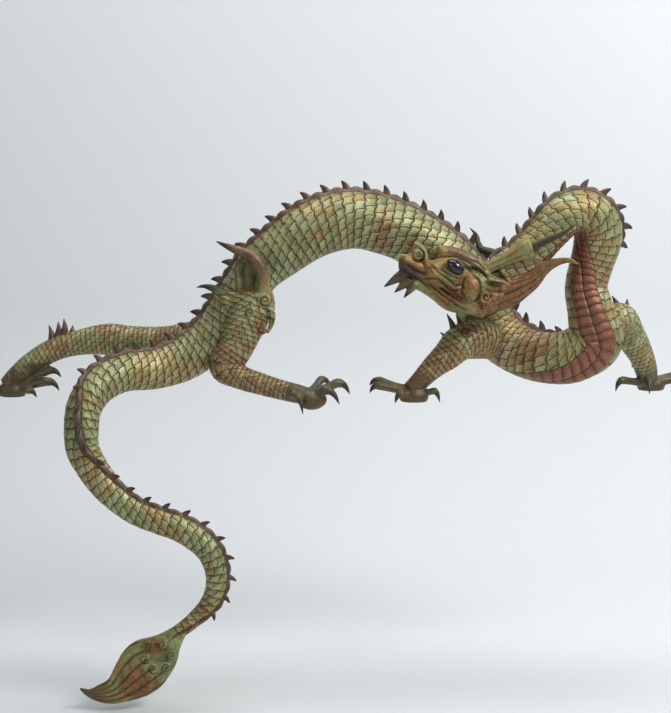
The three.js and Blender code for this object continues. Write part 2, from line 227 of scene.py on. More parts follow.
makeStage()
makeLight("windowRight", (2.2, -1.6, 2.3), (0.1, 0, 0.0), (1.3, 1.3), 88, (1.0, 0.99, 0.97))
makeLight("fillLeft", (-2.6, -2.4, 0.7), (0, 0, 0), (1.6, 1.6), 12, (0.95, 0.98, 1.0))
makeLight("overhead", (0.0, 0.1, 2.5), (0, 0.1, 0), (2.2, 1.0), 34)
makeLight("backdropGlow", (2.2, 0.4, 1.4), (1.6, 1.5, 0.2), (1.2, 1.2), 14)
world = bpy.data.worlds.new("room")
world.use_nodes = True
world.node_tree.nodes["Background"].inputs[0].default_value = (0.86, 0.9, 0.93, 1)
world.node_tree.nodes["Background"].inputs[1].default_value = 0.3
scene.world = world
print("camera, stage and light done")

# lines, tubes and lumps
def flowLine(stations, steps=32):
    # a smooth line through rows of x, y, z and anything else that changes along it: centripetal Catmull-Rom,
    # each span a cubic whose end slopes come from its neighbours, then read evenly by length
    rows = np.asarray(stations, float)
    rows = np.concatenate([2 * rows[:1] - rows[1:2], rows, 2 * rows[-1:] - rows[-2:-1]])
    knots = np.sqrt(np.linalg.norm(np.diff(rows[:, :3], axis=0), axis=1))[:, None]
    before, first, second, after = rows[:-3], rows[1:-2], rows[2:-1], rows[3:]
    k0, k1, k2 = knots[:-2], knots[1:-1], knots[2:]
    out = ((first - before) / k0 - (second - before) / (k0 + k1) + (second - first) / k1) * k1
    into = ((second - first) / k1 - (after - first) / (k1 + k2) + (after - second) / k2) * k1
    f = np.linspace(0, 1, steps, endpoint=False)[None, :, None]
    span = [a[:, None, :] for a in (first, second, out, into)]
    flow = (2 * f ** 3 - 3 * f ** 2 + 1) * span[0] + (3 * f ** 2 - 2 * f ** 3) * span[1] \
        + (f ** 3 - 2 * f ** 2 + f) * span[2] + (f ** 3 - f ** 2) * span[3]
    flow = np.concatenate([flow.reshape(-1, rows.shape[1]), rows[-2:-1]])
    run = np.concatenate([[0], np.cumsum(np.linalg.norm(np.diff(flow[:, :3], axis=0), axis=1))])
    return run, flow


def readLine(line, run):
    # the line's rows at the wanted lengths, with its direction there
    lengths, flow = line
    rows = np.stack([np.interp(run, lengths, flow[:, k]) for k in range(flow.shape[1])], 1)
    slope = np.gradient(flow[:, :3], lengths, axis=0)
    along = np.stack([np.interp(run, lengths, slope[:, k]) for k in range(3)], 1)
    return rows, along / np.linalg.norm(along, axis=1, keepdims=True)


def unit(v):
    return v / np.maximum(np.linalg.norm(v, axis=-1, keepdims=True), 1e-9)


def square(up, along):
    # up turned square to along
    return unit(up - np.sum(up * along, -1, keepdims=True) * along)


def gridFaces(rings, sides):
    # quads of a closed tube of rings, then a fan over each end, the end points being the last two corners
    ring, side = np.meshgrid(np.arange(rings - 1), np.arange(sides), indexing="ij")
    a = (ring * sides + side).ravel()
    b = (ring * sides + (side + 1) % sides).ravel()
    quads = np.stack([a, b, b + sides, a + sides], 1)
    k = np.arange(sides)
    near, far = rings * sides, rings * sides + 1
    last = (rings - 1) * sides
    tris = np.concatenate([np.stack([np.full(sides, near), (k + 1) % sides, k], 1),
                           np.stack([np.full(sides, far), last + k, last + (k + 1) % sides], 1)])
    return quads, tris


def tube(stations, sides=20, step=4.0, up=(0, -1, 0)):
    # a closed round skin along a line of x, y, z, half width and, if given, half thickness
    rows = np.array([list(s) + [s[3]] * (5 - len(s)) for s in stations], float)
    line = flowLine(rows)
    count = max(4, int(line[0][-1] / step) + 1)
    rows, along = readLine(line, np.linspace(0, line[0][-1], count))
    ups = square(np.array(up, float)[None], along)
    sideways = np.cross(along, ups)
    turn = np.linspace(0, 2 * np.pi, sides, endpoint=False)[None, :, None]
    wide, high = np.maximum(rows[:, 3], 0.3)[:, None, None], np.maximum(rows[:, 4], 0.3)[:, None, None]
    skin = rows[:, None, :3] + wide * np.sin(turn) * sideways[:, None] + high * np.cos(turn) * ups[:, None]
    verts = np.concatenate([skin.reshape(-1, 3), rows[:1, :3], rows[-1:, :3]])
    return (verts, *gridFaces(count, sides))


def lump(at, size, turn=0.0, rings=12, sides=18):
    # an egg with the given half sizes, turned about the upright
    tilt = np.linspace(0, np.pi, rings + 2)[1:-1, None]
    spin = np.linspace(0, 2 * np.pi, sides, endpoint=False)[None]
    ball = np.stack([np.sin(tilt) * np.cos(spin), np.sin(tilt) * np.sin(spin),
                     np.cos(tilt) * np.ones_like(spin)], 2).reshape(-1, 3)
    ball = np.concatenate([ball, [[0, 0, 1], [0, 0, -1]]]) * np.array(size, float)
    a = math.radians(turn)
    ball = ball @ np.array([[math.cos(a), math.sin(a), 0], [-math.sin(a), math.cos(a), 0], [0, 0, 1]])
    quads, tris = gridFaces(rings, sides)
    return ball + np.array(at, float), quads[:, ::-1], tris[:, ::-1]


def joined(parts):
    # many closed skins as one set of corners and faces
    verts, quads, tris, base = [], [], [], 0
    for v, q, t in parts:
        verts.append(v)
        quads.append(q + base)
        tris.append(t + base)
        base += len(v)
    return np.concatenate(verts), np.concatenate(quads), np.concatenate(tris)


def welded(parts, voxel, rounds=3):
    # overlapping skins grown into one, then eased: the corners, normals and faces of the result, in millimetres
    verts, quads, tris = joined(parts)
    mesh = makeMesh("raw", verts * mm, quads, tris)
    raw = bpy.data.objects.new("raw", mesh)
    scene.collection.objects.link(raw)
    grow = raw.modifiers.new("grow", "REMESH")
    grow.mode = "VOXEL"
    grow.voxel_size = voxel * mm
    ease = raw.modifiers.new("ease", "SMOOTH")
    ease.factor = 0.5
    ease.iterations = rounds
    bpy.context.view_layer.update()
    shown = bpy.data.meshes.new_from_object(raw.evaluated_get(bpy.context.evaluated_depsgraph_get()))
    count = len(shown.vertices)
    points = np.empty(count * 3, np.float32)
    shown.vertices.foreach_get("co", points)
    normals = np.empty(count * 3, np.float32)
    shown.vertex_normals.foreach_get("vector", normals)
    corners = np.empty(len(shown.loops), np.int32)
    shown.loops.foreach_get("vertex_index", corners)
    sizes = np.empty(len(shown.polygons), np.int32)
    shown.polygons.foreach_get("loop_total", sizes)
    starts = np.concatenate([[0], np.cumsum(sizes)[:-1]])
    quads = corners[starts[sizes == 4][:, None] + np.arange(4)]
    tris = corners[starts[sizes == 3][:, None] + np.arange(3)]
    bpy.data.objects.remove(raw)
    bpy.data.meshes.remove(mesh)
    bpy.data.meshes.remove(shown)
    return points.reshape(-1, 3).astype(float) / mm, normals.reshape(-1, 3).astype(float), quads, tris


def smoothStep(value, low, high):
    f = np.clip((value - low) / (high - low), 0, 1)
    return f * f * (3 - 2 * f)


# Warm brown bloom of the patina: place, reach and strength
blooms = [
    (-137, 20, 62, 70, 1.0), (-105, 20, 150, 30, 0.55), (-60, 20, 35, 45, 0.7), (-392, 110, 145, 40, 0.9),
    (-265, 110, 140, 60, 0.95), (-500, 110, 95, 45, 0.6), (-590, 100, 40, 40, 0.5), (129, 60, 325, 30, 0.7),
    (-20, 60, 265, 45, 0.35), (330, 80, 108, 55, 0.9), (430, 60, 100, 45, 0.95), (505, 60, 82, 30, 0.7),
    (300, 70, 120, 45, 0.8), (250, 50, 75, 45, 0.9), (225, 45, 50, 30, 0.7), (450, 20, 320, 40, 0.7),
    (565, 40, 240, 35, 0.5), (410, -10, 225, 60, 1.0), (360, -20, 190, 60, 0.8), (262, -35, 215, 26, 0.9),
    (-330, -100, -520, 40, 0.9), (-300, -100, -440, 26, 0.7), (-205, -90, -370, 30, 0.5), (-420, -80, -140, 45, 0.5),
    (-250, -90, -215, 40, 0.35), (610, 110, 150, 30, 0.7), (650, 150, 70, 30, 0.4), (-230, 40, 90, 50, 0.35),
    (190, 60, 290, 50, 0.4), (230, 170, 280, 70, 0.8), (0, 190, 320, 80, 0.8), (540, 150, 180, 60, 0.8),
    (-400, 160, 60, 60, 0.7), (480, 90, 370, 40, 0.6), (290, -35, 236, 22, 1.0), (330, -30, 300, 34, 0.6),
    (215, -20, 262, 24, 0.5), (-110, 10, 285, 30, 0.5), (-300, -60, -190, 22, 0.6), (40, 60, 300, 30, 0.3),
]


def bloomShare(points):
    # the strongest of the blooms at each point, each fading as a bell from its middle
    share = np.zeros(len(points))
    for x, y, z, reach, strength in blooms:
        far = np.sum(np.square((points - (x, y, z)) / reach), 1)
        share = np.maximum(share, strength * np.exp(-far))
    return share


# Every piece carries plan: scale row, place across the rows, and place round the body from back (0) to belly (1);
# tint: shares of rust, ochre and black, which on the head also paint the shadow along the mouth; patch: shares of bloom
# and belly red; carve: depth of the tool lines
def dress(piece, plan, tint, carve, belly=None):
    count = len(piece.data.vertices)
    points = np.empty(count * 3, np.float32)
    piece.data.vertices.foreach_get("co", points)
    bloom = bloomShare(points.reshape(-1, 3) / mm)
    patch = np.stack([bloom, np.zeros(count) if belly is None else belly, np.zeros(count)], 1)
    for name, values in (("plan", plan), ("tint", tint), ("patch", patch)):
        layer = piece.data.attributes.new(name, "FLOAT_VECTOR", "POINT")
        layer.data.foreach_set("vector", np.asarray(values, np.float32).ravel())
    layer = piece.data.attributes.new("carve", "FLOAT", "POINT")
    layer.data.foreach_set("value", np.asarray(carve, np.float32).ravel())
    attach(piece, "root")
    return piece


# patina
scales = {"bulge": 0.2, "drop": 0.55, "wide": 17.0, "wideShare": 0.05, "row": 13.5, "rowShare": 0.065,
          "ridgeEdge": 11.0, "bellyChest": 142.0, "bellyBelow": 163.0, "band": 0.85, "lift": 1.7}
patina = {"sage": tone(150, 160, 108), "pale": tone(196, 196, 150), "moss": tone(92, 108, 60), "teal": tone(96, 128, 96),
          "deep": tone(48, 58, 32), "ochre": tone(164, 126, 62), "brown": tone(98, 60, 30), "orange": tone(160, 96, 44),
          "rust": tone(108, 74, 62), "plum": tone(78, 50, 44), "olive": tone(112, 104, 52), "black": tone(24, 20, 20),
          "groove": tone(24, 24, 13), "belly": tone(112, 62, 42), "bellyHighlightAndMottle": tone(150, 96, 66),
          "glow": tone(196, 192, 152)}


def makePatina(name, scaled=True, size=1.0):
    # green and brown patina: cloudy colour, dark lines between the scales, grain and wear; on the scales a painted
    # highlight on each raised edge and painted shade where each scale sinks, and on the belly a painted highlight along
    # each band
    paint = Paint(name)
    row, across, around = paint.split(paint.attribute("plan"))
    rust, ochre, black = paint.split(paint.attribute("tint"))
    bloom, belly, _ = paint.split(paint.attribute("patch"))
    carve = paint.attribute("carve", "Fac")
    big = paint.noise(9.0, 3.0)
    middle = paint.noise(31.0, 4.0, 0.62)
    small = paint.noise(110.0, 5.0, 0.68)
    grain = paint.noise(420.0, 4.0, 0.72)
    colour = paint.mix(middle.ramp(0.36, 0.62), patina["sage"], patina["moss"])
    colour = paint.mix((big * 0.5 + small * 0.5).ramp(0.5, 0.62) * 0.55, colour, patina["teal"])
    colour = paint.mix(small.ramp(0.5, 0.7) * 0.6, colour, patina["deep"])
    colour = paint.mix(ochre * 0.6, colour, paint.mix(small.ramp(0.35, 0.6), patina["ochre"], patina["olive"]))
    colour = paint.mix((big * 0.6 + middle * 0.4).ramp(0.48, 0.58) * 0.75, colour, patina["ochre"])
    warm = (bloom * 0.85 + middle * 0.5 + small * 0.3).ramp(0.52, 0.92)
    colour = paint.mix(warm * 0.85, colour, paint.mix(small.ramp(0.35, 0.62), patina["orange"], patina["brown"]))
    colour = paint.mix((middle * 0.5 + grain * 0.5).ramp(0.54, 0.66) * 0.5, colour, patina["brown"])
    height = grain * 0.3 + small * 0.35
    lines = carve
    if scaled:
        line = (row + 0.5).floor()
        odd = ((line * 0.5).fract() * 2 + 0.5).floor()

        def bow(odd):
            part = (across - odd * 0.5 - scales["drop"]).fract()
            return part * (1 - part) * (4 * scales["bulge"])

        here, beside = bow(odd), bow(1 - odd)
        ahead = row - line + here
        right = ahead.ramp(-0.004, 0.004)
        share = right * (ahead / (1 - beside + here)) + (1 - right) * ((row - line + 1 + beside) / (beside + 1 - here))
        share = share.most(0.0).least(1.0)
        own = right * odd + (1 - right) * (1 - odd)
        top = (1 - (1 - (1 - share) ** 2) ** 0.5) * scales["drop"]
        down = (across - own * 0.5 - top)
        home = paint.join(line + right, down.floor(), 0.0)
        down = down.fract()
        flank = around.ramp(0.085, 0.105) * around.ramp(0.795, 0.785)
        fine = small.ramp(0.3, 0.55, 0.5, 1.0)
        edge = 1 - ahead.abs().ramp(0.025, 0.09)
        topEdge = 1 - down.least(1 - down).ramp(0.02, 0.075)
        groove = edge.most(topEdge * 0.85) * flank * fine
        chance = paint.node("ShaderNodeTexWhiteNoise", {"noise_dimensions": "3D"}, {"Vector": home})
        colour = paint.mix(chance.ramp(0.6, 1.0) * flank * 0.4, colour, patina["ochre"])
        colour = paint.mix(chance.ramp(0.4, 0.0) * flank * 0.4, colour, patina["pale"])
        # painted highlight: paler on the raised free edge and top of each scale; painted shade: darker where each scale
        # sinks under the next
        colour = paint.mix((1 - share) * (1 - down) * flank * 0.5, colour, patina["pale"])
        colour = paint.mix((share * 0.6 + down * 0.4).ramp(0.5, 1.0) * flank * 0.5, colour, patina["deep"])
        under = around.ramp(0.785, 0.8)
        band = (row / scales["band"] + ((across * 2 - 1) ** 2) * 0.16).fract()
        bandGroove = (1 - (band - 0.5).abs().ramp(0.5, 0.4)) * under
        seam = 1 - (1 - (across * 2 - 1).abs()).ramp(0.0, 0.12)
        # painted highlight: the belly red turns paler along the raised middle of each band, with some random mottling
        red = paint.mix(band.ramp(0.15, 0.5) * (1 - band.ramp(0.6, 0.95)) * 0.6 + small * 0.3, patina["belly"],
                        patina["bellyHighlightAndMottle"])
        red = paint.mix(middle.ramp(0.45, 0.7) * 0.5, red, patina["brown"])
        colour = paint.mix(under * (1 - belly), colour, patina["olive"])
        colour = paint.mix(under * belly, colour, red)
        lines = carve.most(groove * 0.95).most(bandGroove * 0.7).most(under * seam * 0.8)
        height = height - groove * 1.4 - bandGroove * 0.8
    rusty = paint.mix(middle.ramp(0.35, 0.65), patina["rust"], patina["plum"])
    colour = paint.mix(rust, colour, rusty)
    colour = paint.mix(black, colour, patina["black"])
    colour = paint.mix(grain.ramp(0.48, 0.7) * 0.55, colour, patina["groove"])
    colour = paint.mix(grain.ramp(0.5, 0.3) * 0.3 * (1 - black * 0.8), colour, patina["glow"])
    colour = paint.mix(lines * 0.9, colour, patina["groove"])
    rough = 0.33 + small * 0.25 + lines * 0.25
    normal = paint.bump(height, 0.0014 * size, 1.0)
    return paint.set(Base_Color=colour, Roughness=rough, Metallic=0.35, Normal=normal, Specular_IOR_Level=0.6)


bronze = makePatina("bronzePatina")
plain = makePatina("plainPatina", scaled=False)
print("patina mixed")

# trunk from tail to nape
# centre, half width, the way the back faces
trunkLine = [
    (-262, -75, -431, 13, 0, -1, 0), (-224, -76, -401, 15, 0.35, -0.9, -0.3), (-191, -78, -365, 19, 0.7, -0.6, -0.4),
    (-179, -80, -328, 21, 0.95, -0.3, -0.1), (-182, -82, -290, 23, 1, -0.2, 0.1), (-196, -83, -260, 25, 0.8, -0.2, 0.5),
    (-220, -84, -237, 26, 0.5, -0.2, 0.85), (-249, -85, -219, 26, 0.4, -0.25, 0.88),
    (-290, -85, -204, 26, 0.25, -0.3, 0.93), (-332, -84, -186, 26, 0.35, -0.35, 0.87),
    (-382, -81, -145, 28, 0.6, -0.5, 0.6), (-411, -78, -106, 29.5, 0.58, -0.75, 0.35),
    (-428, -78, -70, 31, 0.3, -0.9, 0.1), (-430, -75, -35, 32, 0, -1, 0), (-426, -61, 5, 33, -0.25, -0.95, 0.1),
    (-405, -38, 39, 34.5, -0.75, -0.45, 0.5), (-363, -5, 62, 37, -0.3, -0.25, 0.92),
    (-299, 35, 65, 39, -0.25, -0.15, 0.95), (-245, 58, 83, 43, -0.35, -0.1, 0.93), (-190, 73, 126, 44, -0.6, 0, 0.8),
    (-131, 82, 213, 45, -0.85, 0, 0.5), (-103, 85, 252, 47, -0.8, 0, 0.6), (-57, 90, 289, 51, -0.7, 0, 0.7),
    (0, 95, 327, 55, -0.45, 0, 0.89), (59, 100, 345, 56, -0.1, 0, 1), (98, 102, 345, 55, 0, 0, 1),
    (141, 105, 334, 55, 0.37, 0, 0.93), (178, 108, 320, 54, 0.47, 0, 0.88), (239, 117, 283, 54, 0.6, 0, 0.8),
    (291, 125, 237, 53, 0.65, 0, 0.76), (330, 130, 181, 51, 0.8, 0, 0.6), (363, 125, 122, 50, 0.6, 0, 0.8),
    (407, 105, 91, 49, 0.4, 0.1, 0.9), (458, 76, 81, 48, 0.2, 0.4, 0.9), (510, 66, 88, 52, 0, 0.8, 0.6),
    (547, 64, 116, 54, 0, 0.95, 0.2), (539, 60, 166, 46, 0.15, 0.98, 0), (529, 68, 218, 41, 0.3, 0.95, 0),
    (540, 75, 266, 42, 0.7, 0.7, 0), (550, 70, 304, 44, 0.95, 0.3, 0), (550, 62, 332, 44, 1, 0.1, 0.1),
    (536, 52, 356, 42, 0.7, 0, 0.7), (509, 45, 367, 41, 0, 0, 1), (478, 35, 358, 40, -0.4, 0, 0.9),
    (452, 28, 334, 38, -0.65, 0, 0.75), (406, 15, 284, 36, -0.6, 0.1, 0.75), (355, 10, 248, 37, -0.4, 0, 0.9),
]
ridge = {"height": 4.5, "pitch": 38.5, "start": 88.0, "hump": 5.0, "spine": 18.5, "foot": 10.5, "thick": 5.0,
         "lean": 0.42, "sunk": 4.0}
chestRun = (1700.0, 1790.0)  # the length over which the plain belly turns into two banded columns
trunkGrid = {"perRow": 6, "flank": 36}


def scaleMap(row, across):
    # overlapping scales: row lines that bulge towards the tail between the joints, and in each row
    # quarter-round tops that fall from the head side to the tail side; returns each point's place in its scale
    line = np.floor(row + 0.5)
    odd = line % 2

    def bow(odd):
        part = (across - 0.5 * odd - scales["drop"]) % 1
        return scales["bulge"] * 4 * part * (1 - part)

    here, beside = bow(odd), bow(1 - odd)
    ahead = row - line + here
    right = ahead >= 0
    share = np.where(right, ahead / (1 - beside + here), (row - line + 1 + beside) / (1 + beside - here))
    share = np.clip(share, 0, 1)
    own = np.where(right, odd, 1 - odd)
    top = scales["drop"] * (1 - np.sqrt(1 - (1 - share) ** 2))
    return share, (across - 0.5 * own - top) % 1, np.abs(ahead)


def scaleHeight(row, across):
    # a scale is highest at its free edge and its top, and sinks towards the next ones
    share, down, line = scaleMap(row, across)
    groove = np.exp(-(line / 0.07) ** 2) + np.exp(-(np.minimum(down, 1 - down) / 0.06) ** 2)
    return 1 - 0.55 * share - 0.35 * down - 0.35 * np.minimum(groove, 1)


def trunkFrames(run):
    rows, along = readLine(trunk, run)
    ups = square(rows[:, 4:7], along)
    return rows[:, :3], along, ups, np.cross(along, ups), rows[:, 3]


def ridgeRun():
    # how far the crest of the ridge has run on at each length of the centre line
    run = np.linspace(0, trunk[0][-1], 1600)
    centre, along, ups, sideways, half = trunkFrames(run)
    crest = centre + ups * half[:, None]
    return run, np.concatenate([[0], np.cumsum(np.linalg.norm(np.diff(crest, axis=0), axis=1))])


def makeTrunk():
    # rings at even shares of a scale row, columns over ridge, flank and belly; the radius is the half width
    # plus the ridge with its humps, the lift of the scales, or the two belly columns with their bands
    run, crest = ridgeRun()
    half = trunkFrames(run)[4]
    rowLong = scales["row"] + scales["rowShare"] * half
    rowCount = np.concatenate([[0], np.cumsum(np.diff(run) / rowLong[1:])])
    rows = np.arange(0, rowCount[-1], 1 / trunkGrid["perRow"])
    at = np.interp(rows, rowCount, run)
    centre, along, ups, sideways, half = trunkFrames(at)
    chest = smoothStep(at, *chestRun)[:, None]
    edge = scales["bellyBelow"] + (scales["bellyChest"] - scales["bellyBelow"]) * chest
    ridgeShare = np.array([0, 0.27, 0.54, 0.8, 1.0])
    flankShare = np.linspace(0.008, 0.992, trunkGrid["flank"])
    bellyShare = np.array([0, 0.05, 0.15, 0.3, 0.5, 0.7, 0.85, 0.95, 1.0])
    away = np.concatenate([np.broadcast_to(ridgeShare * scales["ridgeEdge"], (len(rows), 5)),
                           scales["ridgeEdge"] + flankShare * (edge - scales["ridgeEdge"]),
                           edge + bellyShare * (180 - edge)], 1)
    zone = np.concatenate([np.zeros(5), np.ones(len(flankShare)), np.full(9, 2)])
    mirror = np.arange(len(zone) - 2, 0, -1)
    turn = np.concatenate([away, 360 - away[:, mirror]], 1)
    away, zone = np.concatenate([away, away[:, mirror]], 1), np.concatenate([zone, zone[mirror]])
    edge = np.broadcast_to(edge, away.shape)
    column = (away - edge) / (180 - edge)
    wide = (scales["wide"] + scales["wideShare"] * half)[:, None]
    across = np.where(zone == 2, column, np.radians(away - scales["ridgeEdge"]) * half[:, None] / wide)
    rowGrid = np.broadcast_to(rows[:, None], across.shape)
    size = (half / 50)[:, None]
    humps = np.sin(np.pi * (np.interp(at, run, crest) - ridge["start"]) / ridge["pitch"])[:, None] ** 2
    dome = np.sqrt(np.clip(1 - (away / scales["ridgeEdge"]) ** 2, 0, 1))
    ridgeLift = dome * (ridge["height"] + ridge["hump"] * humps) * np.sqrt(size)
    flankLift = scales["lift"] * (scaleHeight(rowGrid, across) - 0.3) * (0.35 + 0.65 * size) * (1 - 0.5 * chest)
    band = (rowGrid / scales["band"] + (column * 2 - 1) ** 2 * 0.16) % 1
    bandLift = 1.1 * (1 - np.abs(band * 2 - 1) ** 3) + 0.5 * (1 - band)
    bellyLift = (np.sqrt(np.clip(1 - (column * 2 - 1) ** 2, 0, 1)) * (3.2 + bandLift) * (0.2 + 0.8 * chest) - 0.6) * size
    lift = np.where(zone == 0, ridgeLift, np.where(zone == 2, bellyLift, flankLift))
    border = (zone == 0) & (away > scales["ridgeEdge"] - 0.01)
    lift = np.where(border, -0.8 * size, lift)
    radius = half[:, None] + lift
    angle = np.radians(turn)[..., None]
    skin = centre[:, None] + radius[..., None] * (np.sin(angle) * sideways[:, None] + np.cos(angle) * ups[:, None])
    verts = np.concatenate([skin.reshape(-1, 3), centre[:1], centre[-1:]])
    around = np.where(zone == 2, 0.8 + 0.2 * column, np.where(zone == 0, away / 180, 0.1 + 0.68 * (away - 11) / (edge - 11)))
    plan = np.stack([rowGrid, across, around], 2).reshape(-1, 3)
    crestRust = np.where(zone == 0, 1.0, 0.0) * np.ones_like(across)
    bellyRed = chest * (zone == 2)
    tint = np.stack([np.maximum(crestRust * 0.85, bellyRed * 0), 0.2 + 0 * across, 0.25 * crestRust * humps], 2).reshape(-1, 3)
    carve = border * 0.7 * np.ones_like(across)
    ends = np.zeros((2, 3))
    mesh = makeMesh("trunk", verts * mm, *gridFaces(len(rows), turn.shape[1]))
    piece = makeObject("trunk", mesh, bronze)
    dress(piece, np.concatenate([plan, ends]), np.concatenate([tint, ends]), np.concatenate([carve.ravel(), [0, 0]]),
          np.concatenate([(bellyRed + 0 * across).ravel(), [0, 0]]))
    print("trunk", len(mesh.polygons))
    return piece


def makeSpines():
    # hooked blades along the ridge: an oval carried up a line that bends towards the tail, shrinking to a blunt point
    run, crest = ridgeRun()
    at = np.interp(np.arange(ridge["start"], crest[-1] - ridge["pitch"], ridge["pitch"]), crest, run)
    centre, along, ups, sideways, half = (a[:, None, None] if a.ndim == 1 else a[:, None, None, :] for a in trunkFrames(at))
    tall = ridge["spine"] * np.minimum(1, 0.45 + half / 80)
    rise = np.linspace(0, 1, 11)[None, :, None]
    turn = np.linspace(0, 2 * np.pi, 12, endpoint=False)[None, None]
    full = np.sqrt(1 - rise ** 8)
    foot = ridge["foot"] * (0.72 * (1 - rise) ** 0.8 + 0.28 * full) * tall / ridge["spine"]
    thick = ridge["thick"] * (0.6 * (1 - rise) + 0.4 * full)
    foot, thick = np.maximum(foot, 0.35), np.maximum(thick, 0.25)
    up = half - ridge["sunk"] + rise * (tall + ridge["sunk"] + 3)
    back = 0.1 * tall * np.sin(np.pi * rise) - ridge["lean"] * tall * rise ** 2.2
    skin = centre + ups * up[..., None] + along * (back + foot * np.cos(turn))[..., None] \
        + sideways * (thick * np.sin(turn))[..., None]
    count = len(at)
    tips = (centre + ups * (up[:, -1:] + 0.6)[..., None] - along * (ridge["lean"] * tall)[..., None]).reshape(count, 3)
    feet = (centre + ups * up[:, :1, :, None]).reshape(count, 3)
    parts = []
    quads, tris = gridFaces(11, 12)
    for k in range(count):
        parts.append((np.concatenate([skin[k].reshape(-1, 3), feet[k:k + 1], tips[k:k + 1]]), quads[:, ::-1], tris[:, ::-1]))
    verts, quads, tris = joined(parts)
    dark = np.tile(np.concatenate([np.repeat(smoothStep(np.linspace(0, 1, 11), 0.3, 1.0) * 0.8, 12), [0, 0.9]]), count)
    piece = makeObject("ridgeSpines", makeMesh("ridgeSpines", verts * mm, quads, tris), plain)
    full = np.ones_like(dark)
    dress(piece, np.stack([full * 0, full * 0, full * -1], 1), np.stack([full, full * 0, dark], 1), full * 0)
    print("spines", count)
    return piece


trunk = flowLine(trunkLine)
trunkPiece = makeTrunk()
spinesPiece = makeSpines()


def spiral(points, middle, radius, turns, hand=1, depth=1.6):
    # a coil seen from the front: the height follows the cosine of turns x distance less the angle,
    # and fades at the rim; back come the lift and the share of groove
    dx, dz = points[:, 0] - middle[0], points[:, 2] - middle[1]
    far = np.hypot(dx, dz) / radius
    phase = far * turns - hand * np.arctan2(dz, dx) / (2 * np.pi)
    inside = 1 - smoothStep(far, 0.85, 1.1)
    wave = np.cos(2 * np.pi * phase)
    return depth * wave * inside, smoothStep(-wave, 0.35, 1.0) * inside


def nearLine(points, line):
    # for each point: how far along the line its nearest place is, how far off, and the way to it
    lengths, flow = line
    pick = np.linspace(0, lengths[-1], 260)
    rows, along = readLine(line, pick)
    apart = np.empty((len(points), len(pick)))
    for k in range(3):
        apart = np.square(points[:, k:k + 1] - rows[None, :, k]) + (apart if k else 0)
    best = np.argmin(apart, 1)
    before, here, after = (apart[np.arange(len(points)), np.clip(best + d, 0, len(pick) - 1)] for d in (-1, 0, 1))
    bend = before - 2 * here + after
    part = np.clip(0.5 * (before - after) / np.maximum(bend, 1e-6), -0.5, 0.5)
    part = np.where((best == 0) | (best == len(pick) - 1), 0, part)
    run = (best + part) * (pick[1] - pick[0])
    rows, along = readLine(line, np.clip(run, 0, lengths[-1]))
    return run, points - rows[:, :3], along


def aroundLine(away, along, up):
    # turn of each point round its line, from the given upper side (0) to the under side (180)
    ups = square(np.broadcast_to(np.array(up, float), along.shape), along)
    sideways = np.cross(along, ups)
    return np.degrees(np.arctan2(np.abs(np.sum(away * sideways, 1)), np.sum(away * ups, 1)))


def finishSkin(name, skin, lift, plan, tint, carve, material=None):
    # moves the corners out along their normals and makes the piece
    points, normals, quads, tris = skin
    verts = points + normals * lift[:, None]
    piece = makeObject(name, makeMesh(name, verts * mm, quads, tris), material or bronze)
    dress(piece, plan, tint, carve)
    print(name, len(quads) * 2 + len(tris))
    return piece


